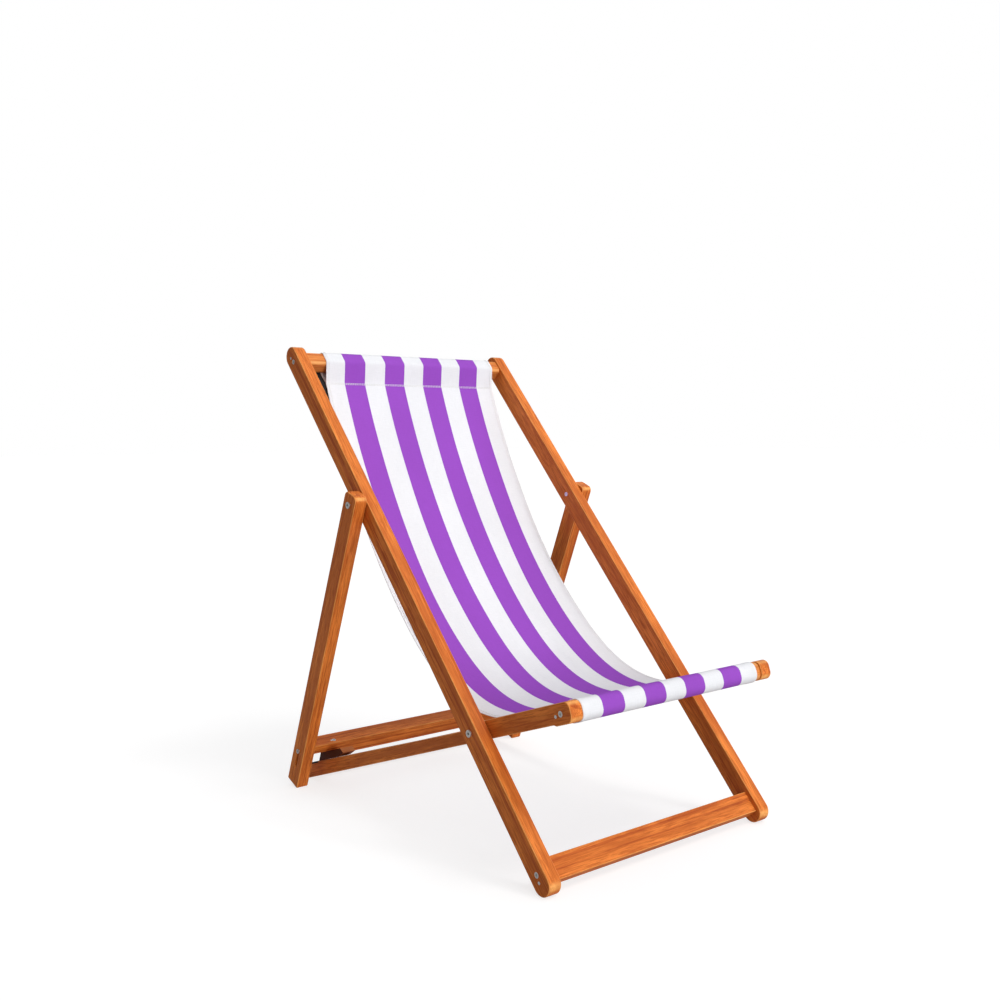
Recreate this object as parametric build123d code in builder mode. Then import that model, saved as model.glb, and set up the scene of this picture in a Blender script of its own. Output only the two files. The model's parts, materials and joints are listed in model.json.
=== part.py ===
from build123d import *
import os
from math import atan2, cos, degrees, radians, sin, tan

os.makedirs("parts", exist_ok=True)

# Timber stock, in millimetres
rail_thick = 25.0
rail_depth = 39.0
edge_ease = 2.0
end_round = 8.0

# Back frame: two long rails that lean back from the front feet
back_width = 532.0
back_angle = 48.3
back_length = 1162.0
seat_pivot_up = 291.5
prop_pivot_up = 772.5
top_bar_size = 32.0
top_bar_round = 9.0
top_bar_below_end = 33.5
foot_board_thick = 22.0
foot_board_up = 42.0

# Seat frame: swings inside the back frame on the seat pivots
seat_gap = 1.5
seat_angle = 19.1
seat_front_reach = 226.0
seat_depth = 34.0
seat_axis_below_top = 15.5
front_end_round = 12.0
front_bar_long = 36.0
front_bar_tall = 32.5
front_bar_round = 13.0
front_bar_setback = 3.0
heel_length = 40.0
heel_rise = 2.5
heel_slope = 6.0
relief_start = 62.0
relief_drop = 9.5
relief_taper = 0.75
rear_end_round = 4.0
rear_foot_flat = 12.0
rear_board_thick = 24.0
rear_board_tall = 24.0
rear_board_inset = 3.0
rest_pad_thick = 3.5
rest_pad_proud = 0.5
rest_pad_length = 42.0
rest_pad_from_block = 5.0

# Prop frame: two legs outside the back frame with a bar across
prop_gap = 1.0
prop_angle = 22.3
prop_bar_size = 32.0
prop_bar_round = 2.0
leg_toe_round = 3.0
leg_top_reach = 22.0
leg_top_round = 10.0
slot_travel = 35.0
rest_block_wide = 28.0
rest_block_front = 84.0
rest_block_rear = 22.0
rest_block_slant = 13.0
rest_block_tall = 15.5
rest_flat_depth = 11.0
rest_lead_long = 28.0
rest_lead_tall = 5.5
rest_screw_inset = 21.5
rest_pin_inset = 15.5
rest_screw_forward = 6.5
rest_screw_reach = 36.0
rest_head_diameter = 7.5
rest_socket = 4.0
rest_pin_diameter = 4.0

# Fasteners and fits
running_clearance = 0.05
seat_clearance = 0.3
pivot_diameter = 6.0
pivot_head_diameter = 12.5
pivot_head_thick = 2.2
pivot_socket = 5.0
pivot_nut_diameter = 9.0
pivot_nut_thick = 6.0
pivot_nut_floor = 1.0
pivot_washer_diameter = 18.0
washer_play = 0.2
screw_diameter = 5.0
screw_head_diameter = 10.0
screw_head_thick = 3.5
screw_bite = 35.0
screw_sunk = 0.3
screw_socket = 5.0
screw_socket_depth = 2.0
pin_diameter = 5.5
pin_bite = 20.0
pin_spacing = 12.0
pin_back = 2.5
front_pin_cover = 0.25
slot_bolt_diameter = 6.0
slot_bolt_head_diameter = 9.0
slot_bolt_head_thick = 2.5

# Sling cloth
sling_left_gap = 1.5
sling_right_gap = 9.5
sling_thick = 2.0
sling_clearance = 0.5
sling_low_up = 600.0
sling_depth = 101.0

# Webbing loop sewn behind the sling's upper left corner
loop_wide = 26.0
loop_long = 75.0
loop_thick = 3.0
loop_overhang = 19.0
loop_below_top = 42.0

# Derived places
SIDES = {"left": -1, "right": 1}
FROM_BASE = (Align.CENTER, Align.CENTER, Align.MIN)
back_half = back_width / 2
back_inner = back_half - rail_thick
seat_outer = back_inner - seat_gap
seat_inner = seat_outer - rail_thick
leg_inner = back_half + prop_gap
leg_outer = leg_inner + rail_thick
rail_half = rail_depth / 2
back_foot_up = rail_half / sin(radians(back_angle))
back_middle_up = back_foot_up + back_length / 2 - rail_half
back_top_up = back_foot_up + back_length - rail_half
top_bar_up = back_top_up - top_bar_below_end

# Seat rail outline heights, measured across the rail from the pivot axis
seat_bottom = seat_axis_below_top - seat_depth
seat_waist = seat_bottom + heel_rise
seat_middle = seat_axis_below_top - seat_depth / 2
relief_top = seat_axis_below_top - relief_drop

# Seat rail lengths from the pivot: the lower rear corner is cut flat on the floor
seat_cos = cos(radians(seat_angle))
seat_sin = sin(radians(seat_angle))
seat_pivot_height = seat_pivot_up * sin(radians(back_angle))
floor_reach = (seat_pivot_height + seat_waist * seat_cos) / seat_sin
seat_rear_reach = floor_reach + rear_foot_flat * seat_cos
rear_flat_top = seat_waist + rear_foot_flat * seat_sin
relief_slope = tan(radians(relief_taper))
rear_top = relief_top + (seat_rear_reach - relief_start) * relief_slope
heel_back = heel_length - seat_front_reach
front_bar_back = front_bar_setback + front_bar_long / 2 - seat_front_reach
front_screw_back = front_bar_back + front_bar_setback
front_pin_back = front_bar_back + front_bar_long / 2 - front_pin_cover - pin_diameter / 2
rear_board_back = seat_rear_reach - rear_board_inset - rear_board_thick / 2
rear_board_middle = (seat_waist + rear_top) / 2

# The seat rails reach furthest to the front and rear, so the origin lies on the floor between their ends
front_end = (front_end_round - seat_front_reach) * seat_cos
front_end += (seat_bottom + front_end_round) * seat_sin - front_end_round
rear_end = (seat_rear_reach - rear_end_round) * seat_cos + (rear_top - rear_end_round) * seat_sin
rear_end += rear_end_round
chair_middle = seat_pivot_up * cos(radians(back_angle)) + (front_end + rear_end) / 2

back_frame = Plane(
    origin=(0, -chair_middle, 0),
    x_dir=(0, cos(radians(back_angle)), sin(radians(back_angle))),
    z_dir=(1, 0, 0),
)
seat_frame = Plane(
    origin=back_frame.from_local_coords(Vector(seat_pivot_up, 0, 0)),
    x_dir=(0, seat_cos, -seat_sin),
    z_dir=(1, 0, 0),
)
prop_frame = Plane(
    origin=back_frame.from_local_coords(Vector(prop_pivot_up, 0, 0)),
    x_dir=(0, sin(radians(prop_angle)), -cos(radians(prop_angle))),
    z_dir=(1, 0, 0),
)

# The prop bar stands on one edge over the seat rails, so its place follows from the blocks under it
fold_angle = radians(prop_angle + seat_angle)
bar_half_diagonal = prop_bar_size / 2 * (cos(fold_angle) + sin(fold_angle))
pivot_on_seat = seat_frame.to_local_coords(prop_frame.origin)
bar_over_relief = seat_clearance + rest_block_tall - rest_flat_depth + bar_half_diagonal
relief_at_pivot = relief_top + (pivot_on_seat.X - relief_start) * relief_slope
bar_down = (pivot_on_seat.Y - relief_at_pivot - bar_over_relief) / (
    cos(fold_angle) + sin(fold_angle) * relief_slope
)
bar_on_seat = seat_frame.to_local_coords(prop_frame.from_local_coords(Vector(bar_down, 0, 0))).X
relief_at_bar = relief_top + (bar_on_seat - relief_start) * relief_slope
relief_frame = Plane(
    origin=seat_frame.from_local_coords(Vector(bar_on_seat, relief_at_bar, 0)),
    x_dir=(0, cos(radians(seat_angle - relief_taper)), -sin(radians(seat_angle - relief_taper))),
    z_dir=(1, 0, 0),
)
block_top = seat_clearance + rest_block_tall
lead_end = rest_lead_tall * rest_block_slant / rest_block_tall - rest_block_front
toe_height = prop_frame.origin.Z + (leg_toe_round - rail_half) * sin(radians(prop_angle)) - leg_toe_round
leg_reach = leg_toe_round + toe_height / cos(radians(prop_angle))


def section(frame, x):
    """The side view plane of a frame, moved across the chair to x."""
    return Plane(origin=frame.origin + Vector(x, 0, 0), x_dir=frame.x_dir, z_dir=(1, 0, 0))


def spot(frame, along, across, x, sign):
    """A plane on a crosswise axis, facing outward on one side of the chair."""
    place = frame.from_local_coords(Vector(along, across, 0))
    return Plane(origin=(x, place.Y, place.Z), x_dir=frame.x_dir, z_dir=(sign, 0, 0))


def low_x(sign, inner, outer):
    """The smaller x of a piece that lies between two distances from the middle."""
    return inner if sign > 0 else -outer


# Fastener spots, as distances along and across each frame
screw_hole = screw_diameter / 2 + running_clearance
pin_hole = pin_diameter / 2 + running_clearance
pivot_hole = pivot_diameter / 2 + running_clearance
head_recess = screw_head_diameter / 2 + running_clearance
rest_pin_hole = rest_pin_diameter / 2 + running_clearance
rest_head_recess = rest_head_diameter / 2 + running_clearance
recess_depth = screw_head_thick + screw_sunk
top_screw = (top_bar_up, 0)
top_pin = (top_bar_up + pin_spacing, -pin_back)
foot_screw = (foot_board_up, 0)
foot_pin = (foot_board_up - pin_spacing, -pin_back)
front_screw = (front_screw_back, seat_middle)
front_pin = (front_pin_back, seat_middle - pin_back)
rear_screw = (rear_board_back, rear_board_middle)

# Spots on the top face of the prop bar, across the chair and toward the front
bar_top_place = prop_frame.from_local_coords(Vector(bar_down - prop_bar_size / 2, 0, 0))
bar_top = Plane(origin=bar_top_place, x_dir=(1, 0, 0), z_dir=-prop_frame.x_dir)
rest_screws = [(sign * (seat_outer - rest_screw_inset), -rest_screw_forward) for sign in SIDES.values()]
rest_pins = [(sign * (seat_outer - rest_pin_inset), -rest_screw_forward) for sign in SIDES.values()]

# Back rails
for name, sign in SIDES.items():
    near = low_x(sign, back_inner, back_half)
    with BuildPart() as back_rail:
        with BuildSketch(section(back_frame, near)):
            with Locations((back_middle_up, 0)):
                SlotOverall(back_length, rail_depth)
        extrude(amount=rail_thick)
        fillet(back_rail.faces().filter_by(Axis.X).edges(), edge_ease)
        with BuildSketch(section(back_frame, near)):
            with Locations((seat_pivot_up, 0), (prop_pivot_up, 0)):
                Circle(pivot_hole)
            with Locations(top_screw, foot_screw):
                Circle(screw_hole)
            with Locations(top_pin, foot_pin):
                Circle(pin_hole)
        extrude(amount=rail_thick, mode=Mode.SUBTRACT)
        with BuildSketch(section(back_frame, sign * back_half)):
            with Locations(top_screw, foot_screw):
                Circle(head_recess)
        extrude(amount=-sign * recess_depth, mode=Mode.SUBTRACT)
        with BuildSketch(section(back_frame, sign * back_inner)):
            with Locations((prop_pivot_up, 0)):
                Circle(pivot_nut_diameter / 2 + running_clearance)
        extrude(amount=sign * (pivot_nut_thick + seat_clearance), mode=Mode.SUBTRACT)
    back_rail.part.label = f"back_rail_{name}"
    export_step(back_rail.part, f"parts/back_rail_{name}.step")

# Top bar that carries the sling
with BuildPart() as top_cloth_bar:
    with BuildSketch(section(back_frame, -back_inner)):
        with Locations((top_bar_up, 0)):
            RectangleRounded(top_bar_size, top_bar_size, top_bar_round)
    extrude(amount=2 * back_inner)
    for sign in SIDES.values():
        with Locations(spot(back_frame, *top_screw, sign * back_inner, sign)):
            Cylinder(screw_hole, 2 * screw_bite, mode=Mode.SUBTRACT)
        with Locations(spot(back_frame, *top_pin, sign * back_inner, sign)):
            Cylinder(pin_hole, 2 * pin_bite, mode=Mode.SUBTRACT)
top_cloth_bar.part.label = "top_cloth_bar"
export_step(top_cloth_bar.part, "parts/top_cloth_bar.step")

# Board between the front feet
with BuildPart() as foot_board:
    with BuildSketch(section(back_frame, -back_inner)):
        with Locations((foot_board_up, 0)):
            RectangleRounded(rail_depth, foot_board_thick, edge_ease)
    extrude(amount=2 * back_inner)
    for sign in SIDES.values():
        with Locations(spot(back_frame, *foot_screw, sign * back_inner, sign)):
            Cylinder(screw_hole, 2 * screw_bite, mode=Mode.SUBTRACT)
        with Locations(spot(back_frame, *foot_pin, sign * back_inner, sign)):
            Cylinder(pin_hole, 2 * pin_bite, mode=Mode.SUBTRACT)
foot_board.part.label = "foot_board"
export_step(foot_board.part, "parts/foot_board.step")

# Seat rails: a heel at the front bar, and behind the pivot a stepped top edge with an inlet for the pad
pad_start = rest_block_rear + rest_pad_from_block
pad_base = rest_pad_proud - rest_pad_thick
for name, sign in SIDES.items():
    near = low_x(sign, seat_inner, seat_outer)
    with BuildPart() as seat_rail:
        with BuildSketch(section(seat_frame, near)) as seat_outline:
            with BuildLine():
                Polyline(
                    (-seat_front_reach, seat_bottom),
                    (heel_back, seat_bottom),
                    (heel_back + heel_slope, seat_waist),
                    (floor_reach, seat_waist),
                    (seat_rear_reach, rear_flat_top),
                    (seat_rear_reach, rear_top),
                    (relief_start, relief_top),
                    (relief_start, seat_axis_below_top),
                    (-seat_front_reach, seat_axis_below_top),
                    close=True,
                )
            make_face()
            fillet(seat_outline.vertices().group_by(Axis.X)[0], front_end_round)
            fillet(seat_outline.vertices().group_by(Axis.X)[-1], rear_end_round)
        extrude(amount=rail_thick)
        fillet(seat_rail.faces().filter_by(Axis.X).edges(), edge_ease)
        with BuildSketch(section(seat_frame, near)):
            Circle(pivot_hole)
            with Locations(front_screw, rear_screw):
                Circle(screw_hole)
            with Locations(front_pin):
                Circle(pin_hole)
        extrude(amount=rail_thick, mode=Mode.SUBTRACT)
        with BuildSketch(section(relief_frame, near)):
            with Locations((pad_start - running_clearance, pad_base - running_clearance)):
                Rectangle(
                    rest_pad_length + 2 * running_clearance, rest_pad_thick + rail_depth, align=Align.MIN
                )
        extrude(amount=rail_thick, mode=Mode.SUBTRACT)
        with BuildSketch(section(seat_frame, sign * seat_outer)):
            with Locations(front_screw, rear_screw):
                Circle(head_recess)
        extrude(amount=-sign * recess_depth, mode=Mode.SUBTRACT)
    seat_rail.part.label = f"seat_rail_{name}"
    export_step(seat_rail.part, f"parts/seat_rail_{name}.step")

# Front bar that carries the sling
with BuildPart() as front_cloth_bar:
    with BuildSketch(section(seat_frame, -seat_inner)):
        with Locations((front_bar_back, seat_middle)):
            RectangleRounded(front_bar_long, front_bar_tall, front_bar_round)
    extrude(amount=2 * seat_inner)
    for sign in SIDES.values():
        with Locations(spot(seat_frame, *front_screw, sign * seat_inner, sign)):
            Cylinder(screw_hole, 2 * screw_bite, mode=Mode.SUBTRACT)
        with Locations(spot(seat_frame, *front_pin, sign * seat_inner, sign)):
            Cylinder(pin_hole, 2 * pin_bite, mode=Mode.SUBTRACT)
front_cloth_bar.part.label = "front_cloth_bar"
export_step(front_cloth_bar.part, "parts/front_cloth_bar.step")

# Board between the rear ends of the seat rails
with BuildPart() as rear_board:
    with BuildSketch(section(seat_frame, -seat_inner)):
        with Locations((rear_board_back, rear_board_middle)):
            RectangleRounded(rear_board_thick, rear_board_tall, edge_ease)
    extrude(amount=2 * seat_inner)
    for sign in SIDES.values():
        with Locations(spot(seat_frame, *rear_screw, sign * seat_inner, sign)):
            Cylinder(screw_hole, 2 * screw_bite, mode=Mode.SUBTRACT)
rear_board.part.label = "rear_board"
export_step(rear_board.part, "parts/rear_board.step")

# Rubber pads let into the top edges of the seat rails, just behind the blocks
for name, sign in SIDES.items():
    near = low_x(sign, seat_inner, seat_outer)
    with BuildPart() as rest_pad:
        with BuildSketch(section(relief_frame, near)):
            with Locations((pad_start, pad_base)):
                Rectangle(rest_pad_length, rest_pad_thick, align=Align.MIN)
        extrude(amount=rail_thick)
    rest_pad.part.label = f"rest_pad_{name}"
    export_step(rest_pad.part, f"parts/rest_pad_{name}.step")

# Prop legs with a slot near the foot for the bar's end bolts
slot_half = slot_bolt_diameter / 2 + running_clearance
for name, sign in SIDES.items():
    near = low_x(sign, leg_inner, leg_outer)
    with BuildPart() as prop_leg:
        with BuildSketch(section(prop_frame, near)) as leg_outline:
            with Locations((-leg_top_reach, 0)):
                Rectangle(leg_top_reach + leg_reach, rail_depth, align=(Align.MIN, Align.CENTER))
            fillet(leg_outline.vertices().group_by(Axis.X)[0], leg_top_round)
            leg_end = leg_outline.vertices().group_by(Axis.X)[-1].sort_by(Axis.Y)
            fillet(leg_end[0], leg_toe_round)
            fillet(leg_end[-1], end_round)
        extrude(amount=rail_thick)
        fillet(prop_leg.faces().filter_by(Axis.X).edges(), edge_ease)
        with BuildSketch(section(prop_frame, near)):
            Circle(pivot_hole)
            with Locations((bar_down + slot_travel / 2, 0)):
                SlotCenterToCenter(slot_travel, 2 * slot_half)
        extrude(amount=rail_thick, mode=Mode.SUBTRACT)
    prop_leg.part.label = f"prop_leg_{name}"
    export_step(prop_leg.part, f"parts/prop_leg_{name}.step")

# Bar across the prop legs, with its lower edge planed flat above each block
with BuildPart() as prop_bar:
    with BuildSketch(section(prop_frame, -leg_inner)):
        with Locations((bar_down, 0)):
            RectangleRounded(prop_bar_size, prop_bar_size, prop_bar_round)
    extrude(amount=2 * leg_inner)
    for name, sign in SIDES.items():
        near = low_x(sign, seat_outer - rest_block_wide, leg_inner)
        with BuildSketch(section(relief_frame, near)):
            with Locations((0, block_top)):
                Rectangle(2 * prop_bar_size, prop_bar_size, align=(Align.CENTER, Align.MAX))
        extrude(amount=leg_inner - seat_outer + rest_block_wide, mode=Mode.SUBTRACT)
        with Locations(spot(prop_frame, bar_down, 0, sign * leg_inner, sign)):
            Cylinder(slot_bolt_diameter / 2 + running_clearance, 2 * screw_bite, mode=Mode.SUBTRACT)
    with BuildSketch(bar_top):
        with Locations(*rest_screws):
            Circle(screw_hole)
        with Locations(*rest_pins):
            Circle(rest_pin_hole)
    extrude(amount=-2 * prop_bar_size, mode=Mode.SUBTRACT)
    with BuildSketch(bar_top):
        with Locations(*rest_screws):
            Circle(rest_head_recess)
    extrude(amount=-recess_depth, mode=Mode.SUBTRACT)
prop_bar.part.label = "prop_bar"
export_step(prop_bar.part, "parts/prop_bar.step")

# Wedge-ended blocks under the prop bar that stand on the seat rails, sloped under the front to clear them
for name, sign in SIDES.items():
    near = low_x(sign, seat_outer - rest_block_wide, seat_outer)
    with BuildPart() as rest_block:
        with BuildSketch(section(relief_frame, near)):
            with BuildLine():
                Polyline(
                    (rest_lead_long - rest_block_front, seat_clearance),
                    (rest_block_rear, seat_clearance),
                    (rest_block_rear - rest_block_slant, block_top),
                    (rest_block_slant - rest_block_front, block_top),
                    (lead_end, seat_clearance + rest_lead_tall),
                    close=True,
                )
            make_face()
        extrude(amount=rest_block_wide)
        with BuildSketch(bar_top):
            with Locations(*rest_screws):
                Circle(screw_hole)
            with Locations(*rest_pins):
                Circle(rest_pin_hole)
        extrude(amount=-rest_screw_reach, mode=Mode.SUBTRACT)
    rest_block.part.label = f"rest_block_{name}"
    export_step(rest_block.part, f"parts/rest_block_{name}.step")

# Screws and pins that hold the rest blocks
with BuildPart() as rest_block_screws:
    with BuildSketch(bar_top.offset(-screw_sunk)):
        with Locations(*rest_screws):
            Circle(screw_diameter / 2)
    extrude(amount=screw_sunk - rest_screw_reach)
    with BuildSketch(bar_top.offset(-screw_sunk)):
        with Locations(*rest_screws):
            Circle(rest_head_diameter / 2)
    extrude(amount=-screw_head_thick)
    with BuildSketch(bar_top.offset(-screw_sunk)):
        with Locations(*rest_screws):
            RegularPolygon(rest_socket / 2, 6)
    extrude(amount=-screw_socket_depth, mode=Mode.SUBTRACT)
rest_block_screws.part.label = "rest_block_screws"
export_step(rest_block_screws.part, "parts/rest_block_screws.step")

with BuildPart() as rest_block_pins:
    with BuildSketch(bar_top.offset(-rest_screw_reach)):
        with Locations(*rest_pins):
            Circle(rest_pin_diameter / 2)
    extrude(amount=rest_screw_reach)
rest_block_pins.part.label = "rest_block_pins"
export_step(rest_block_pins.part, "parts/rest_block_pins.step")

# Bolts that run in the leg slots and enter the ends of the prop bar
with BuildPart() as slot_bolts:
    for sign in SIDES.values():
        with Locations(spot(prop_frame, bar_down, 0, sign * (leg_inner - screw_bite), sign)):
            Cylinder(slot_bolt_diameter / 2, screw_bite + rail_thick, align=FROM_BASE)
        with Locations(spot(prop_frame, bar_down, 0, sign * leg_outer, sign)):
            Cylinder(slot_bolt_head_diameter / 2, slot_bolt_head_thick, align=FROM_BASE)
        with BuildSketch(spot(prop_frame, bar_down, 0, sign * (leg_outer + slot_bolt_head_thick), sign)):
            RegularPolygon(screw_socket / 2, 6)
        extrude(amount=-screw_socket_depth, mode=Mode.SUBTRACT)
slot_bolts.part.label = "slot_bolts"
export_step(slot_bolts.part, "parts/slot_bolts.step")

# Wood screws with sunk socket heads, in pairs, from a rail into the end of a crosspiece
screw_sets = {
    "top_bar_screws": (back_frame, top_screw, back_half),
    "foot_board_screws": (back_frame, foot_screw, back_half),
    "front_bar_screws": (seat_frame, front_screw, seat_outer),
    "rear_board_screws": (seat_frame, rear_screw, seat_outer),
}
for name, (frame, place, face) in screw_sets.items():
    with BuildPart() as screws:
        for sign in SIDES.values():
            tip = face - rail_thick - screw_bite
            head = face - screw_sunk
            with Locations(spot(frame, *place, sign * tip, sign)):
                Cylinder(screw_diameter / 2, head - tip, align=FROM_BASE)
            with Locations(spot(frame, *place, sign * (head - screw_head_thick), sign)):
                Cylinder(screw_head_diameter / 2, screw_head_thick, align=FROM_BASE)
            with BuildSketch(spot(frame, *place, sign * head, sign)):
                RegularPolygon(screw_socket / 2, 6)
            extrude(amount=-screw_socket_depth, mode=Mode.SUBTRACT)
    screws.part.label = name
    export_step(screws.part, f"parts/{name}.step")

# Plain pins beside the screws, which stop each crosspiece from turning
pin_sets = {
    "top_bar_pins": (back_frame, top_pin, back_half),
    "foot_board_pins": (back_frame, foot_pin, back_half),
    "front_bar_pins": (seat_frame, front_pin, seat_outer),
}
for name, (frame, place, face) in pin_sets.items():
    with BuildPart() as pins:
        for sign in SIDES.values():
            tip = face - rail_thick - pin_bite
            with Locations(spot(frame, *place, sign * tip, sign)):
                Cylinder(pin_diameter / 2, face - tip, align=FROM_BASE)
    pins.part.label = name
    export_step(pins.part, f"parts/{name}.step")

# Pivot bolts, nuts and washers: the seat frame turns inside the back rails, the prop frame outside
seat_nut_face = seat_inner - seat_clearance
prop_head_face = leg_outer + seat_clearance
pivot_bolts = {
    "seat_pivot_bolts": (seat_pivot_up, back_half, seat_nut_face),
    "prop_pivot_bolts": (prop_pivot_up, prop_head_face, back_inner + pivot_nut_thick),
}
for name, (up, head_face, nut_face) in pivot_bolts.items():
    tip = nut_face - pivot_nut_thick + pivot_nut_floor
    with BuildPart() as bolts:
        for sign in SIDES.values():
            with Locations(spot(back_frame, up, 0, sign * tip, sign)):
                Cylinder(pivot_diameter / 2, head_face - tip, align=FROM_BASE)
            with Locations(spot(back_frame, up, 0, sign * head_face, sign)):
                Cylinder(pivot_head_diameter / 2, pivot_head_thick, align=FROM_BASE)
            with BuildSketch(spot(back_frame, up, 0, sign * (head_face + pivot_head_thick), sign)):
                RegularPolygon(pivot_socket / 2, 6)
            extrude(amount=-2 * pivot_head_thick, mode=Mode.SUBTRACT)
    bolts.part.label = name
    export_step(bolts.part, f"parts/{name}.step")

pivot_nuts = {
    "seat_pivot_nuts": (seat_pivot_up, seat_nut_face),
    "prop_pivot_nuts": (prop_pivot_up, back_inner + pivot_nut_thick),
}
for name, (up, nut_face) in pivot_nuts.items():
    with BuildPart() as nuts:
        for sign in SIDES.values():
            with Locations(spot(back_frame, up, 0, sign * (nut_face - pivot_nut_thick), sign)):
                Cylinder(pivot_nut_diameter / 2, pivot_nut_thick, align=FROM_BASE)
            with Locations(spot(back_frame, up, 0, sign * nut_face, sign)):
                Cylinder(pivot_hole, 2 * (pivot_nut_thick - pivot_nut_floor), mode=Mode.SUBTRACT)
    nuts.part.label = name
    export_step(nuts.part, f"parts/{name}.step")

pivot_washers = {
    "seat_pivot_washers": (seat_pivot_up, back_inner - seat_gap + washer_play, seat_gap - washer_play),
    "prop_pivot_washers": (prop_pivot_up, back_half, prop_gap - washer_play),
}
for name, (up, start, thick) in pivot_washers.items():
    with BuildPart() as washers:
        for sign in SIDES.values():
            with Locations(spot(back_frame, up, 0, sign * start, sign)):
                Cylinder(pivot_washer_diameter / 2, thick, align=FROM_BASE)
                Cylinder(pivot_hole, 4 * thick, mode=Mode.SUBTRACT)
    washers.part.label = name
    export_step(washers.part, f"parts/{name}.step")

# Sling: a pocket round each bar and one sheet that sags between them
sling_left = sling_left_gap - seat_inner
sling_width = 2 * seat_inner - sling_left_gap - sling_right_gap
pocket = sling_clearance + sling_thick
pocket_middle = sling_clearance + sling_thick / 2
sling_low = back_frame.from_local_coords(Vector(sling_low_up, -sling_depth, 0))
sling_top = back_frame.from_local_coords(Vector(top_bar_up - top_bar_size / 2 - pocket_middle, 0, 0))
sling_front = seat_frame.from_local_coords(
    Vector(front_bar_back + front_bar_long / 2 + pocket_middle, seat_middle, 0)
)
top_bar_place = back_frame.from_local_coords(Vector(top_bar_up, 0, 0))
front_bar_place = seat_frame.from_local_coords(Vector(front_bar_back, seat_middle, 0))
low_point = (sling_low.Y, sling_low.Z)
along_back = (back_frame.x_dir.Y, back_frame.x_dir.Z)
down_back = (-back_frame.x_dir.Y, -back_frame.x_dir.Z)
with BuildPart() as sling:
    with BuildSketch(Plane.YZ.offset(sling_left)):
        with BuildLine():
            upper_run = TangentArc(low_point, (sling_top.Y, sling_top.Z), tangent=along_back)
            TangentArc(low_point, (sling_front.Y, sling_front.Z), tangent=down_back)
        trace(line_width=sling_thick)
        with Locations(Location((top_bar_place.Y, top_bar_place.Z), back_angle)):
            RectangleRounded(
                top_bar_size + 2 * pocket, top_bar_size + 2 * pocket, top_bar_round + pocket
            )
            RectangleRounded(
                top_bar_size + 2 * sling_clearance,
                top_bar_size + 2 * sling_clearance,
                top_bar_round + sling_clearance,
                mode=Mode.SUBTRACT,
            )
        with Locations(Location((front_bar_place.Y, front_bar_place.Z), -seat_angle)):
            RectangleRounded(
                front_bar_long + 2 * pocket, front_bar_tall + 2 * pocket, front_bar_round + pocket
            )
            RectangleRounded(
                front_bar_long + 2 * sling_clearance,
                front_bar_tall + 2 * sling_clearance,
                front_bar_round + sling_clearance,
                mode=Mode.SUBTRACT,
            )
    extrude(amount=sling_width)
sling.part.label = "sling"
export_step(sling.part, "parts/sling.step")

# Hang loop: folded webbing that lies against the rear of the sling and stands out past its edge
loop_share = 1 - loop_below_top / upper_run.length
loop_lean = upper_run % loop_share
loop_depth = sling_thick / 2 + seat_clearance
with BuildPart() as hang_loop:
    with BuildSketch(Plane.YZ.offset(sling_left - loop_overhang)):
        with Locations(Location(upper_run @ loop_share, degrees(atan2(loop_lean.Y, loop_lean.X)))):
            with Locations((0, -loop_depth)):
                Rectangle(loop_long, loop_thick, align=(Align.CENTER, Align.MAX))
    extrude(amount=loop_wide)
hang_loop.part.label = "hang_loop"
export_step(hang_loop.part, "parts/hang_loop.step")
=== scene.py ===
"""Looks of a folding deck chair: oiled hardwood frame, striped canvas sling, zinc-plated fasteners."""

import json
from math import acos, atan2, cos, pi, radians, sin

import bpy
import numpy as np
from mathutils import Matrix, Vector


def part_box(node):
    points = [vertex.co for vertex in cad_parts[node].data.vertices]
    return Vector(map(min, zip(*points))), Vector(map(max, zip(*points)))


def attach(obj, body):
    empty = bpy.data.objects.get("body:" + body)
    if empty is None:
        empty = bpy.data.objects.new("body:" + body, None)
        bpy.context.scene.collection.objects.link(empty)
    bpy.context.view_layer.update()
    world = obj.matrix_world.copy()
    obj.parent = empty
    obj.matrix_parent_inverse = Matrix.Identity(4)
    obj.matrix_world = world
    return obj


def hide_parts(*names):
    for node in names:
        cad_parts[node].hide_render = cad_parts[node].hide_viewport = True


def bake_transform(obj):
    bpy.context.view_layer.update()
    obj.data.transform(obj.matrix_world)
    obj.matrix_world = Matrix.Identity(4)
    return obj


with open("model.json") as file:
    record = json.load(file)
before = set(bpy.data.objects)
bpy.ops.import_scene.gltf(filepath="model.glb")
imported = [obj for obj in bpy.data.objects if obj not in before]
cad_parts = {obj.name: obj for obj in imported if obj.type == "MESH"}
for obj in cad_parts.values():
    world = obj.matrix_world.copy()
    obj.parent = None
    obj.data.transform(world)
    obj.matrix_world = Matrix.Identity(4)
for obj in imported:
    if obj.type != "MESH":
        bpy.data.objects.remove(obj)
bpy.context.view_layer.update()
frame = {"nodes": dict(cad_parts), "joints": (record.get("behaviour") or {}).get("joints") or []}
nodes = frame["nodes"]

# Sizes are in metres
MM = 0.001

# Pivots and angles of the three frames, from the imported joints
joints = {joint["name"]: joint for joint in frame["joints"]}
seat_pivot = Vector(joints["seat_fold"]["pos_m"])
prop_pivot = Vector(joints["prop_swing"]["pos_m"])
rail_line = prop_pivot - seat_pivot
back_angle = atan2(rail_line.z, rail_line.y)
seat_angle = back_angle - radians(joints["seat_fold"]["range_deg"][1])
prop_angle = back_angle - radians(joints["prop_swing"]["range_deg"][1])

# Sling cloth
cloth_half = 0.6 * MM
side_hem_width = 9 * MM
side_hem_extra = 0.4 * MM
side_hem_ease = 1.2 * MM
rim_thickness_share = 0.55
sleeve_ease = 1.2 * MM
hem_step = 1.5 * MM
cloth_step = 6 * MM
corner_points = 7
upper_belly_points = 90
lower_belly_points = 80

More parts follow.
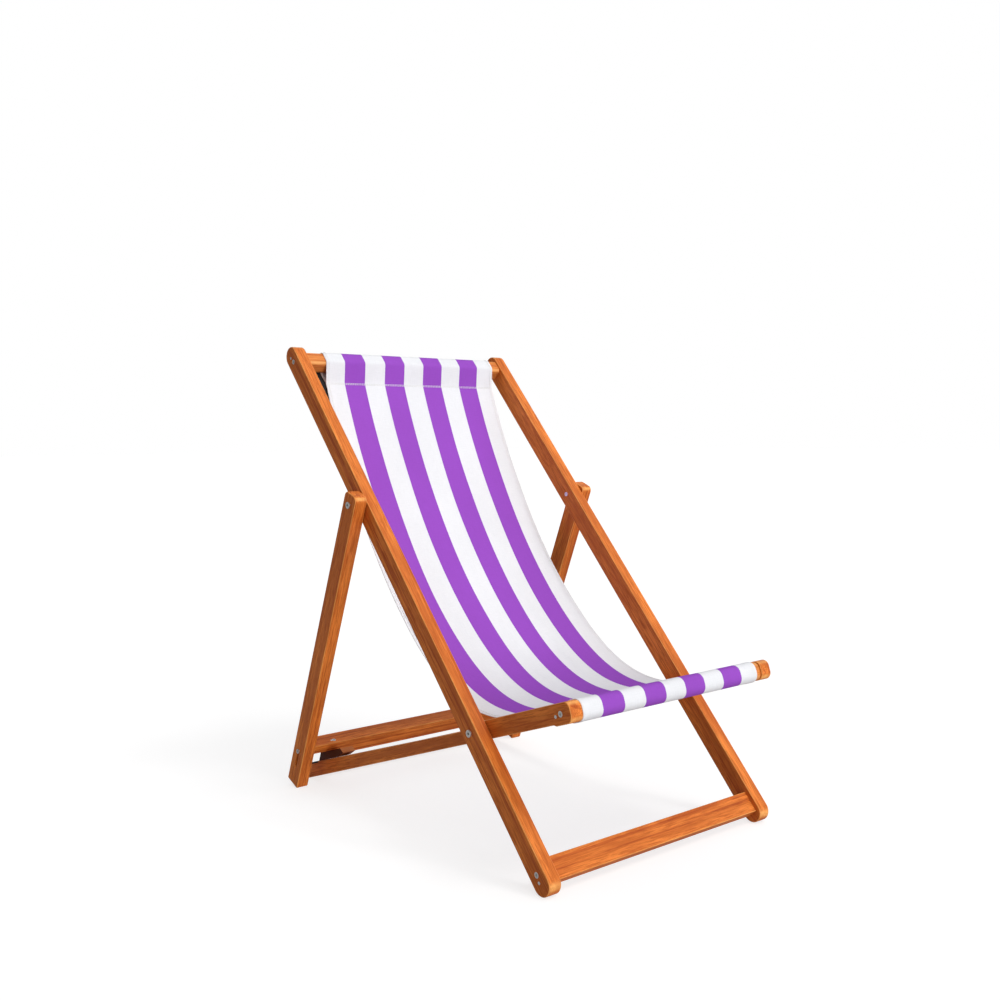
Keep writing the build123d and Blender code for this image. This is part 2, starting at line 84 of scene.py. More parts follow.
# The top hem's line, along and across the back rails from the top bar's middle
top_hem_place = np.array((-40.5, -13.5)) * MM
top_hem_allowance = 12 * MM
top_heading = radians(21.4)
top_pull = 138 * MM

# The belly's deepest point over the back rails, the cloth's turn there and the pulls on both sides
sling_low_up = 318 * MM
sling_depth = 105.5 * MM
low_turn = -0.029
low_pull_up = 166 * MM
low_pull_down = 274 * MM
front_pull = 166 * MM
front_seam_behind_bar = 29 * MM
front_seam_rise = 0.04
front_hem_allowance = 25 * MM

# The cloth sits a little to the right on the top bar: how far its left and right edges stand off the
# packed ones
top_drift = (10 * MM, 14.5 * MM)
front_drift = (0 * MM, -2 * MM)
band_count = 9
edge_band_share = 0.89
edge_columns = np.array((0, 0.35, 1.0, 2.5, 5.0, 7.0, 8.5, 10.0)) * MM
even_columns_inset = 14 * MM
even_columns = 80

# Slack waves in the belly: height in mm, waves across and along with their start, and the slower swell
# along with its start
slack_waves = ((0.9, 23, 5, 0.6, 9, 1.1), (0.5, 51, -7, 2.0, 17, 0.3))
calm_below_hem = (30 * MM, 180 * MM)
calm_behind_front = (50 * MM, 180 * MM)

# Bars inside the sling's sleeves: half sizes along and across, and corner radius
top_bar_half = (16 * MM, 16 * MM)
top_bar_corner = 9 * MM
front_bar_half = (18 * MM, 16.25 * MM)
front_bar_corner = 13 * MM

# Webbing loop behind the sling's upper left corner
strap_half = 0.65 * MM
strap_layer_gap = 0.5 * MM
strap_clearance = 0.3 * MM
strap_columns = 14
strap_step = 4 * MM
strap_fold_points = 9
strap_stitch_row = 2
strap_below_hem = 34 * MM
strap_tuck = 12 * MM
strap_rows_on_bar = 7

# Sewing
stitch_length = 3.8 * MM
stitch_pitch = 4.2 * MM
thread_radius = 0.7 * MM
stitch_row_gap = 2.4 * MM
thread_stand = 0.1 * MM
side_stitch_inset = 6 * MM
hem_stitch_drop = 1 * MM
rear_stitch_drop = 2 * MM
seam_stitch_share = 0.4
stitch_row_inset = 4 * MM
stitch_row_points = 60

# Camera, from the photograph's perspective
image_side = 1000
camera_from_pivot = Vector((-1.3441, -1.41239, 0.48535))
camera_place = seat_pivot + camera_from_pivot
camera_azimuth = radians(-39.72)
camera_elevation = radians(4.65)
camera_roll = radians(-0.27)
focal_pixels = 1110.3
lens_centre = (513.2, 524.8)
sensor_width = 36.0

# Studio: a floor just under the feet, a glow that is brighter on one side, and two sun lamps with the way
# to each, its strength and its softness in degrees
floor_reach = 40.0
floor_drop = 0.4 * MM
floor_grey = 0.37
floor_glow_on_chair = 0.12
floor_glow_seen = 0.73
bright_side = (0.80, -0.25, 0.55)
glow_rise = (-0.55, 0.75)
glow_range = (0.22, 0.72)
sun_lamps = {
    "key": ((0.28, -0.52, 0.92), 0.68, 16),
    "front_fill": ((0.05, -0.97, 0.12), 2.3, 40),
}

# Finishes
pore_brown = (0.08, 0.025, 0.008)
knot_brown = (0.09, 0.03, 0.01)
end_grain_brown = (0.075, 0.014, 0.002)
grain_relief = 0.4 * MM
canvas_yarn = 0.8 * MM
canvas_relief = 0.4 * MM
band_fuzz = 0.5 * MM
canvas_white = (0.79, 0.795, 0.825)
canvas_purple = (0.306, 0.076, 0.520)
canvas_purple_back = (0.39, 0.15, 0.60)
webbing_yarn = 1.6 * MM
webbing_relief = 0.6 * MM
webbing_shade_tones = ((0.004, 0.004, 0.006), (0.012, 0.012, 0.016))
white_thread = ((0.86, 0.86, 0.85), (0.62, 0.62, 0.62))
black_thread = ((0.05, 0.05, 0.055), (0.02, 0.02, 0.02))
zinc_tones = ((0.62, 0.62, 0.61), (0.82, 0.82, 0.81))
zinc_relief = 0.1 * MM
black_pad_tones = ((0.010, 0.010, 0.011), (0.030, 0.029, 0.027))
black_pad_relief = 0.3 * MM


# Shader building

def add(tree, kind, inputs=None, **settings):
    """A new node with its settings, and its inputs set to values or linked to other sockets."""
    made = tree.nodes.new(kind)
    for name, value in settings.items():
        setattr(made, name, value)
    for name, value in (inputs or {}).items():
        socket = made.inputs[name]
        if isinstance(value, bpy.types.NodeSocket):
            tree.links.new(value, socket)
        else:
            socket.default_value = value
    return made


def sum_up(tree, operation, *values):
    """The result of a Math node."""
    return add(tree, "ShaderNodeMath", dict(enumerate(values)), operation=operation).outputs[0]


def stretch(tree, vector, scale):
    """A vector scaled differently along its three axes."""
    inputs = {0: vector, 1: scale}
    return add(tree, "ShaderNodeVectorMath", inputs, operation="MULTIPLY").outputs[0]


def noise(tree, vector, detail=2.0, roughness=0.5):
    inputs = {"Vector": vector, "Scale": 1.0, "Detail": detail, "Roughness": roughness}
    return add(tree, "ShaderNodeTexNoise", inputs).outputs["Fac"]


def ramp(tree, value, low, high, to_low=0.0, to_high=1.0):
    """A smooth step from to_low to to_high as the value goes from low to high."""
    inputs = {"Value": value, "From Min": low, "From Max": high, "To Min": to_low, "To Max": to_high}
    return add(tree, "ShaderNodeMapRange", inputs, interpolation_type="SMOOTHSTEP").outputs[0]


def tint(tree, factor, first, second, blend="MIX"):
    """Two colours mixed by a factor."""
    made = add(tree, "ShaderNodeMix", {0: factor}, data_type="RGBA", blend_type=blend)
    for index, colour in ((6, first), (7, second)):
        if isinstance(colour, bpy.types.NodeSocket):
            tree.links.new(colour, made.inputs[index])
        else:
            made.inputs[index].default_value = (*colour, 1)
    return made.outputs[2]


def new_group(name, sockets_in, sockets_out):
    """An empty shader group with named sockets, and its input and output nodes."""
    tree = bpy.data.node_groups.new(name, "ShaderNodeTree")
    for socket_name, kind in sockets_in:
        tree.interface.new_socket(socket_name, in_out="INPUT", socket_type="NodeSocket" + kind)
    for socket_name, kind in sockets_out:
        tree.interface.new_socket(socket_name, in_out="OUTPUT", socket_type="NodeSocket" + kind)
    return tree, tree.nodes.new("NodeGroupInput").outputs, tree.nodes.new("NodeGroupOutput").inputs


def new_material(name, **shader_values):
    """A material with a Principled shader whose uniform values are set on its own sockets."""
    made = bpy.data.materials.new(name)
    made.use_nodes = True
    tree = made.node_tree
    shader = tree.nodes["Principled BSDF"]
    for socket_name, value in shader_values.items():
        shader.inputs[socket_name.replace("_", " ")].default_value = value
    return made, tree, shader


def bump(tree, shader, height, strength, distance):
    inputs = {"Height": height, "Strength": strength, "Distance": distance}
    tree.links.new(add(tree, "ShaderNodeBump", inputs).outputs[0], shader.inputs["Normal"])


# Shared surface effects

def make_timber_grain():
    """Cloudy zones, short flecks and pores that run along X, with worn edges that also carry a painted
    highlight, and darker end grain.
    """
    tree, given, result = new_group(
        "timber grain",
        [
            ("Vector", "Vector"),
            ("Normal", "Vector"),
            ("Pale", "Color"),
            ("Deep", "Color"),
            ("Wear And Highlight", "Color"),
            ("Knots", "Float"),
            ("Ends", "Float"),
        ],
        [("Color", "Color"), ("Roughness", "Float"), ("Height", "Float")],
    )
    place = given["Vector"]
    zones = noise(tree, stretch(tree, place, (2.6, 42, 42)), 3.0)
    clouds = noise(tree, stretch(tree, place, (13, 75, 75)), 4.0, 0.6)
    flecks = noise(tree, stretch(tree, place, (26, 480, 480)), 3.0, 0.65)
    pores = noise(tree, stretch(tree, place, (85, 1900, 1900)), 1.0)
    streaks = noise(tree, stretch(tree, place, (1.4, 120, 120)), 2.0)
    # A few small knots, as stretched dark spots
    spots = add(
        tree,
        "ShaderNodeTexVoronoi",
        {"Vector": stretch(tree, place, (3.1, 26, 26)), "Scale": 1.0, "Randomness": 1.0},
    ).outputs["Distance"]
    knot = sum_up(tree, "MULTIPLY", ramp(tree, spots, 0.11, 0.03), given["Knots"])
    body = tint(tree, ramp(tree, zones, 0.30, 0.72, 0.0, 0.8), given["Pale"], given["Deep"])
    body = tint(tree, ramp(tree, clouds, 0.40, 0.72, 0.0, 0.6), body, given["Deep"])
    body = tint(tree, ramp(tree, flecks, 0.42, 0.66, 0.0, 0.9), body, given["Deep"])
    body = tint(tree, ramp(tree, streaks, 0.54, 0.68, 0.0, 0.45), body, given["Deep"], "MULTIPLY")
    pore_mask = ramp(tree, pores, 0.62, 0.72)
    body = tint(tree, sum_up(tree, "MULTIPLY", pore_mask, 0.25), body, pore_brown)
    body = tint(tree, knot, body, knot_brown)
    # Flat faces have a normal along one axis: eased edges lie between, and ends look along the grain
    facing = add(tree, "ShaderNodeVectorMath", {0: given["Normal"]}, operation="ABSOLUTE").outputs[0]
    sides = add(tree, "ShaderNodeSeparateXYZ", {0: facing}).outputs
    widest = sum_up(tree, "MAXIMUM", sum_up(tree, "MAXIMUM", sides[0], sides[1]), sides[2])
    eased = ramp(tree, widest, 0.99, 0.8, 0.0, 0.8)
    # Eased edges are painted lighter, partly as wear and partly as a painted highlight where light catches
    # them
    wear_and_highlight = sum_up(tree, "MULTIPLY", eased, ramp(tree, clouds, 0.25, 0.6, 1.0, 0.5))
    body = tint(tree, wear_and_highlight, body, given["Wear And Highlight"])
    cut_ends = sum_up(tree, "MULTIPLY", ramp(tree, sides[0], 0.75, 0.95), given["Ends"])
    body = tint(tree, cut_ends, body, end_grain_brown)
    satin = ramp(tree, flecks, 0.3, 0.8, 0.42, 0.56)
    rough = sum_up(tree, "ADD", satin, sum_up(tree, "MULTIPLY", pore_mask, 0.15))
    height = sum_up(tree, "SUBTRACT", sum_up(tree, "MULTIPLY", flecks, -0.5), pore_mask)
    tree.links.new(body, result["Color"])
    tree.links.new(rough, result["Roughness"])
    tree.links.new(height, result["Height"])
    return tree


def make_plain_weave():
    """Crossing yarns over a flat cloth coordinate in metres: their height, and how light each yarn is."""
    tree, given, result = new_group(
        "plain weave",
        [("Vector", "Vector"), ("Pitch", "Float"), ("Slub", "Float")],
        [("Height", "Float"), ("Shade", "Float")],
    )
    along = add(tree, "ShaderNodeSeparateXYZ", {0: given["Vector"]}).outputs
    half_turn = sum_up(tree, "DIVIDE", pi, given["Pitch"])
    warp_wave = sum_up(tree, "SINE", sum_up(tree, "MULTIPLY", along[0], half_turn))
    weft_wave = sum_up(tree, "SINE", sum_up(tree, "MULTIPLY", along[1], half_turn))
    over = sum_up(tree, "MULTIPLY", warp_wave, weft_wave)
    slub_across = noise(tree, stretch(tree, given["Vector"], (55, 900, 1)), 2.0)
    slub_along = noise(tree, stretch(tree, given["Vector"], (900, 55, 1)), 2.0)
    slub = sum_up(tree, "SUBTRACT", sum_up(tree, "ADD", slub_across, slub_along), 1.0)
    slub = sum_up(tree, "MULTIPLY", slub, given["Slub"])
    tree.links.new(sum_up(tree, "ADD", sum_up(tree, "ABSOLUTE", over), slub), result["Height"])
    tree.links.new(sum_up(tree, "ADD", 1.0, slub), result["Shade"])
    return tree


timber_grain = make_timber_grain()
plain_weave = make_plain_weave()


# Materials

def make_timber(name, angle, across, seed, stock, knots, ends):
    """Oiled hardwood with its grain along a member: across the chair, or at an angle in the side plane."""
    made, tree, shader = new_material(name, Specular_IOR_Level=0.18)
    turn = (-angle, 0, 0) if across else (-angle, 0, -pi / 2)
    shift = (0.61 * seed, 0.137 * seed, 0.071 * seed)
    coords = add(tree, "ShaderNodeTexCoord").outputs
    place = {"Vector": coords["Object"], "Location": shift, "Rotation": turn}
    facing = {"Vector": coords["Normal"], "Rotation": turn}
    grain = add(tree, "ShaderNodeGroup", node_tree=timber_grain)
    along_grain = add(tree, "ShaderNodeMapping", place)
    face_of_grain = add(tree, "ShaderNodeMapping", facing, vector_type="VECTOR")
    tree.links.new(along_grain.outputs[0], grain.inputs["Vector"])
    tree.links.new(face_of_grain.outputs[0], grain.inputs["Normal"])
    for tone, colour in zip(("Pale", "Deep", "Wear And Highlight"), stock):
        grain.inputs[tone].default_value = (*colour, 1)
    grain.inputs["Knots"].default_value = knots
    grain.inputs["Ends"].default_value = ends
    tree.links.new(grain.outputs["Color"], shader.inputs["Base Color"])
    tree.links.new(grain.outputs["Roughness"], shader.inputs["Roughness"])
    bump(tree, shader, grain.outputs["Height"], 0.25, grain_relief)
    return made


def weave_on(tree, pitch, slub):
    """The weave group on a piece's own cloth coordinate."""
    cloth = add(tree, "ShaderNodeUVMap", uv_map="cloth").outputs[0]
    woven = add(tree, "ShaderNodeGroup", {}, node_tree=plain_weave)
    tree.links.new(cloth, woven.inputs["Vector"])
    woven.inputs["Pitch"].default_value = pitch
    woven.inputs["Slub"].default_value = slub
    return cloth, woven.outputs


def make_canvas(width):
    """Striped plain-weave canvas: bands across the width, with narrower white ones at both edges. The back
    is paler."""
    made, tree, shader = new_material("striped_canvas", Specular_IOR_Level=0.08)
    cloth, woven = weave_on(tree, canvas_yarn, 0.25)
    fuzz = noise(tree, stretch(tree, cloth, (0, 1500, 0)), 1.0)
    across = add(tree, "ShaderNodeSeparateXYZ", {0: cloth}).outputs[0]
    across = sum_up(tree, "MULTIPLY_ADD", fuzz, band_fuzz, across)
    band_width = width / (band_count - 2 + 2 * edge_band_share)
    bands = sum_up(tree, "MULTIPLY_ADD", across, 1 / band_width, 1 - edge_band_share)
    dyed = sum_up(tree, "GREATER_THAN", sum_up(tree, "MODULO", bands, 2.0), 1.0)
    back = add(tree, "ShaderNodeAttribute", attribute_name="back").outputs["Fac"]
    purple = tint(tree, back, canvas_purple, canvas_purple_back)
    striped = tint(tree, dyed, canvas_white, purple)
    blotch = noise(tree, stretch(tree, cloth, (7, 5, 1)), 3.0)
    yarn_shade = ramp(tree, woven["Shade"], 0.75, 1.25, 0.9, 1.06)
    shade = sum_up(tree, "MULTIPLY", yarn_shade, ramp(tree, blotch, 0.3, 0.7, 0.97, 1.02))
    grey = add(tree, "ShaderNodeCombineColor", {0: shade, 1: shade, 2: shade}).outputs[0]
    striped = tint(tree, 1.0, striped, grey, "MULTIPLY")
    tree.links.new(striped, shader.inputs["Base Color"])
    tree.links.new(ramp(tree, woven["Height"], 0.0, 1.0, 0.95, 0.82), shader.inputs["Roughness"])
    bump(tree, shader, woven["Height"], 0.2, canvas_relief)
    return made


def make_webbing():
    """Black strap with a coarse weave, its low yarns painted darker as shade."""
    made, tree, shader = new_material("black_webbing", Specular_IOR_Level=0.3, Sheen_Weight=0.1)
    woven = weave_on(tree, webbing_yarn, 0.3)[1]
    # Painted shade: the weave's low points take the darker tone
    tone = ramp(tree, woven["Height"], 0.0, 1.0)
    tree.links.new(tint(tree, tone, *webbing_shade_tones), shader.inputs["Base Color"])
    tree.links.new(ramp(tree, woven["Height"], 0.0, 1.0, 0.85, 0.65), shader.inputs["Roughness"])
    bump(tree, shader, woven["Height"], 0.6, webbing_relief)
    return made


def make_thread(name, pale, deep):
    """Twisted sewing thread."""
    made, tree, shader = new_material(name, Specular_IOR_Level=0.3)
    place = add(tree, "ShaderNodeTexCoord").outputs["Object"]
    twist = noise(tree, stretch(tree, place, (1800, 1800, 1800)), 1.0)
    tree.links.new(tint(tree, ramp(tree, twist, 0.35, 0.65), deep, pale), shader.inputs["Base Color"])
    tree.links.new(ramp(tree, twist, 0.3, 0.7, 0.6, 0.85), shader.inputs["Roughness"])
    return made


def make_zinc():
    """Bright zinc plate with a faint spangle and dull patches."""
    made, tree, shader = new_material("zinc_steel", Metallic=1.0)
    place = add(tree, "ShaderNodeTexCoord").outputs["Object"]
    patch = noise(tree, stretch(tree, place, (260, 260, 260)), 3.0)
    scratch = noise(tree, stretch(tree, place, (400, 2600, 2600)), 2.0)
    tree.links.new(tint(tree, patch, *zinc_tones), shader.inputs["Base Color"])
    dull = ramp(tree, patch, 0.3, 0.7, 0.34, 0.50)
    rough = sum_up(tree, "ADD", dull, ramp(tree, scratch, 0.5, 0.7, 0.0, 0.1))
    tree.links.new(rough, shader.inputs["Roughness"])
    bump(tree, shader, scratch, 0.1, zinc_relief)
    return made


def make_black_pad():
    """Matt near-black finish with a little dust, for the rest pads."""
    made, tree, shader = new_material("pad_rubber", Specular_IOR_Level=0.35)
    place = add(tree, "ShaderNodeTexCoord").outputs["Object"]
    speck = noise(tree, stretch(tree, place, (900, 900, 900)), 3.0)
    dust = noise(tree, stretch(tree, place, (60, 60, 60)), 3.0)
    dusty = tint(tree, ramp(tree, dust, 0.4, 0.8), *black_pad_tones)
    tree.links.new(dusty, shader.inputs["Base Color"])
    tree.links.new(ramp(tree, dust, 0.3, 0.7, 0.6, 0.8), shader.inputs["Roughness"])
    bump(tree, shader, speck, 0.3, black_pad_relief)
    return made


# Timber colours: a pale and a deep tone for each stock, and a lighter tone for worn edges with a painted
# highlight
OILED = ((0.92, 0.278, 0.048), (0.49, 0.104, 0.013), (0.98, 0.50, 0.150))
PALE = ((0.86, 0.310, 0.075), (0.58, 0.165, 0.030), (0.98, 0.52, 0.180))
DARK = ((0.56, 0.160, 0.036), (0.38, 0.090, 0.017), (0.66, 0.240, 0.075))

# Each timber piece: its grain's angle, whether it runs across the chair, its stock, knots and end darkening
TIMBERS = {
    "back_rail_left": (back_angle, False, OILED, 0.0, 0.0),
    "back_rail_right": (back_angle, False, OILED, 0.0, 0.0),
    "top_cloth_bar": (back_angle, True, PALE, 0.0, 0.0),
    "foot_board": (back_angle, True, OILED, 0.0, 0.0),
    "seat_rail_left": (seat_angle, False, OILED, 0.0, 0.0),
    "seat_rail_right": (seat_angle, False, OILED, 0.0, 0.0),
    "front_cloth_bar": (seat_angle, True, PALE, 0.0, 0.0),
    "rear_board": (seat_angle, True, OILED, 0.0, 0.0),
    "prop_leg_left": (prop_angle, False, OILED, 0.0, 0.0),
    "prop_leg_right": (prop_angle, False, OILED, 0.0, 0.0),
    "prop_bar": (prop_angle, True, OILED, 0.9, 0.0),
    "rest_block_left": (seat_angle, True, DARK, 0.0, 1.0),
    "rest_block_right": (seat_angle, True, DARK, 0.0, 1.0),
}
STEEL_NODES = ("screws", "pins", "bolts", "nuts", "washers")


def dress_frame():
    """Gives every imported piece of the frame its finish."""
    zinc = make_zinc()
    black_pad_finish = make_black_pad()
    for name, node in nodes.items():
        if name in TIMBERS:
            angle, across, stock, knots, ends = TIMBERS[name]
            seed = 1 + list(TIMBERS).index(name)
            finish = make_timber("timber_" + name, angle, across, seed, stock, knots, ends)
        elif name.endswith(STEEL_NODES):
            finish = zinc
        elif name.startswith("rest_pad"):
            finish = black_pad_finish
        else:
            continue
        node.data.materials.clear()
        node.data.materials.append(finish)


# Places in the side plane: points are (y, z) pairs

def side(vector):
    return np.array((vector.y, vector.z))


def turned(angle, along, across):
    """An offset along and across a member that lies at an angle in the side plane."""
    return np.array((along * cos(angle) - across * sin(angle), along * sin(angle) + across * cos(angle)))


def on_back(up, front):
    """A point up the back rails from the seat pivots, and out to their front."""
    return side(seat_pivot) + turned(back_angle, up, front)


def bar_middle(node):
    """The middle of a crosswise bar in the side plane."""
    low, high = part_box(node)
    return side((low + high) / 2)


def curve_points(start, start_pull, end_pull, end, count):
    """A cubic curve between two points with a pull point for each end."""
    t = np.linspace(0, 1, count)[:, None]
    rest = 1 - t
    return rest**3 * start + 3 * rest**2 * t * start_pull + 3 * rest * t**2 * end_pull + t**3 * end


def touch_angle(middle, radius, point, turn):
    """The angle on a round corner where a straight line from a point touches it."""
    away = point - middle
    return atan2(away[1], away[0]) + turn * acos(radius / np.hypot(*away))


def wrap_points(half, corner, start_from, end_to):
    """A cloth's line round a bar's section, counter-clockwise from the line that comes from one point to
    the line that goes to another. Points are along and across the bar's frame, and both ends lie at
    negative along."""
    radius = corner + sleeve_ease
    reach = np.array(half) - corner
    corners = [reach * sign for sign in ((-1, -1), (1, -1), (1, 1), (-1, 1))]
    first = touch_angle(corners[0], radius, start_from, 1) % (2 * pi)
    last = touch_angle(corners[3], radius, end_to, -1) % (2 * pi)
    spans = [(first, 1.5 * pi), (1.5 * pi, 2 * pi), (0, 0.5 * pi), (0.5 * pi, last)]
    points = []
    for middle, (begin, finish) in zip(corners, spans):
        for angle in np.linspace(begin, finish, corner_points):
            points.append(middle + radius * np.array((cos(angle), sin(angle))))
    return np.array(points)


def fill_in(points, step):
    """The same line with extra points, so that no run is longer than a step."""
    filled = [points[0]]
    for start, end in zip(points[:-1], points[1:]):
        count = max(1, int(np.ceil(np.hypot(*(end - start)) / step)))
        filled += [start + (end - start) * k / count for k in range(1, count + 1)]
    return np.array(filled)


def face_normals(points):
    """Unit normals of a line in the side plane, on its right as it runs."""
    heading = np.gradient(points, axis=0)
    heading /= np.hypot(heading[:, 0], heading[:, 1])[:, None]
    return np.stack((heading[:, 1], -heading[:, 0]), axis=1)


def line_length(points):
    """The length along a line up to each of its points."""
    return np.concatenate(([0], np.cumsum(np.hypot(*np.diff(points, axis=0).T))))


def at_run(points, run, where):
    """The point of a line at a length along it."""
    return np.array([np.interp(where, run, points[:, axis]) for axis in range(2)])


def sling_line():
    """The sling's line from its top hem, round the top bar, down the belly and round the front bar to its
    last hem, with the rows where each stretch starts."""
    top_middle = bar_middle("top_cloth_bar")
    front_middle = bar_middle("front_cloth_bar")

    # The belly hangs from the top hem's line and meets both layers of the front sleeve behind the front bar
    hem = top_middle + turned(back_angle, *top_hem_place)
    low_point = on_back(sling_low_up, -sling_depth)
    low_angle = back_angle + low_turn
    seam = front_middle + turned(seat_angle, front_seam_behind_bar, 0)
    upper = curve_points(
        hem,
        hem + turned(back_angle + top_heading, -top_pull, 0),
        low_point + turned(low_angle, low_pull_up, 0),
        low_point,
        upper_belly_points,
    )
    lower = curve_points(
        low_point,
        low_point + turned(low_angle, -low_pull_down, 0),
        seam + turned(seat_angle, front_pull, front_pull * front_seam_rise),
        seam,
        lower_belly_points,
    )
    belly = fill_in(np.concatenate((upper, lower[1:])), cloth_step)
    normals = face_normals(belly)
    run = line_length(belly)

    # Top sleeve: the cloth leaves the bar's front and back for the hem, whose allowance is behind the sheet
    wrap = wrap_points(top_bar_half, top_bar_corner, top_hem_place - (0, hem_step), top_hem_place)
    top_sleeve = [top_middle + turned(back_angle, *point) for point in wrap]
    top_hem = (belly - normals * hem_step)[run < top_hem_allowance][::-1]
    rear_layer = fill_in(np.array((top_hem[-1], top_sleeve[0])), cloth_step)[1:-1]
    top_sleeve = fill_in(np.array((*top_sleeve, belly[0])), cloth_step)[:-1]

    # Round the front bar from the seam, and back under the sheet as a hem
    behind = np.array((-front_seam_behind_bar, 0))
    wrap = wrap_points(front_bar_half, front_bar_corner, behind, behind + (0, hem_step))
    front_sleeve = [front_middle + turned(seat_angle + pi, *point) for point in wrap]
    front_hem = (belly - normals * hem_step)[run > run[-1] - front_hem_allowance][::-1]
    front_sleeve = fill_in(np.array((belly[-1], *front_sleeve, front_hem[0])), cloth_step)[1:-1]

    stretches = (top_hem, rear_layer, top_sleeve, belly, front_sleeve, front_hem)
    starts = np.cumsum([0, *map(len, stretches)])
    names = ("top_hem", "rear_layer", "top_sleeve", "belly", "front_sleeve", "front_hem", "end")
    return np.concatenate(stretches), dict(zip(names, starts))


# Cloth strips

def smooth_step(values, low, high):
    """A soft rise from 0 to 1 as the values go from low to high."""
    share = np.clip((values - low) / (high - low), 0, 1)
    return share * share * (3 - 2 * share)


def cloth_strip(name, line, columns, half_thick, ripple=None, drift=0):
    """A closed strip of cloth: a line in the side plane, swept across the chair over the columns, which may
    drift sideways from row to row."""
    rows, across = len(line), len(columns)
    normals = face_normals(line)
    lift = np.zeros((rows, across)) if ripple is None else ripple
    layers = []
    for sign in (1, -1):
        reach = lift + sign * half_thick[None, :]
        points = np.empty((rows, across, 3))
        points[:, :, 0] = columns + drift
        points[:, :, 1:] = line[:, None, :] + normals[:, None, :] * reach[:, :, None]
        layers.append(points.reshape(-1, 3))
    run = line_length(line)
    index = np.arange(rows * across).reshape(rows, across)
    squares = (index[:-1, :-1], index[1:, :-1], index[1:, 1:], index[:-1, 1:])
    face = np.stack(squares, axis=-1).reshape(-1, 4)
    back = face[:, ::-1] + rows * across
    rims = []
    for edge in (index[:, 0][::-1], index[:, -1], index[0, :], index[-1, :][::-1]):
        under = edge + rows * across
        rims.append(np.stack((edge[:-1], edge[1:], under[1:], under[:-1]), axis=-1))
    faces = np.concatenate((face, back, *rims))
    mesh = bpy.data.meshes.new(name)
    mesh.from_pydata(np.concatenate(layers).tolist(), [], faces.tolist())
    flat = np.empty((rows, across, 2))
    flat[:, :, 0] = columns - columns[0]
    flat[:, :, 1] = run[:, None]
    flat = np.tile(flat.reshape(-1, 2), (2, 1))
    cloth = mesh.uv_layers.new(name="cloth")
    cloth.data.foreach_set("uv", flat[faces.reshape(-1)].astype(np.float32).ravel())
    side_mark = mesh.attributes.new("back", "FLOAT", "POINT")
    side_mark.data.foreach_set("value", np.repeat((0.0, 1.0), rows * across).astype(np.float32))
    mesh.polygons.foreach_set("use_smooth", np.ones(len(faces), bool))
    mesh.set_sharp_from_angle(angle=radians(60))
    mesh.validate()
    made = bpy.data.objects.new(name, mesh)
    bpy.context.scene.collection.objects.link(made)
    return made


def sling_ripple(run, columns, starts):
    """Slight slack waves in the belly, none in the sleeves."""
    along = run[:, None]
    across = (columns - columns[0])[None, :]
    waves = 0
    for height, sideways, lengthwise, start, swell, swell_start in slack_waves:
        ripple = np.sin(across * sideways + along * lengthwise + start)
        waves = waves + height * ripple * np.sin(along * swell + swell_start)
    calm = smooth_step(along - run[starts["belly"]], *calm_below_hem)
    calm = calm * smooth_step(run[starts["front_sleeve"]] - along, *calm_behind_front)
    return waves * calm * MM


def sling_drift(run, columns, starts):
    """How far each point of the sling stands sideways from its packed place."""
    first, last = run[starts["belly"]], run[starts["front_sleeve"]]
    down = np.clip((run - first) / (last - first), 0, 1)[:, None]
    across = (columns - columns[0]) / (columns[-1] - columns[0])
    at_top, at_front = (left + (right - left) * across for left, right in (top_drift, front_drift))
    return at_top + (at_front - at_top) * down


def sling_columns(low, high):
    """Places across the sling, close together in the side hems."""
    middle = np.linspace(low + even_columns_inset, high - even_columns_inset, even_columns)
    return np.concatenate((low + edge_columns, middle, high - edge_columns[::-1]))


def sling_half_thickness(columns):
    """Half the cloth's thickness at each column: the side hems are thicker, with rounded outer edges."""
    inset = np.minimum(columns - columns[0], columns[-1] - columns)
    doubled = 1 - smooth_step(inset, side_hem_width - side_hem_ease, side_hem_width)
    rounded = rim_thickness_share + (1 - rim_thickness_share) * smooth_step(inset, 0, side_hem_ease)
    return (cloth_half + side_hem_extra * doubled) * rounded


# Sewing

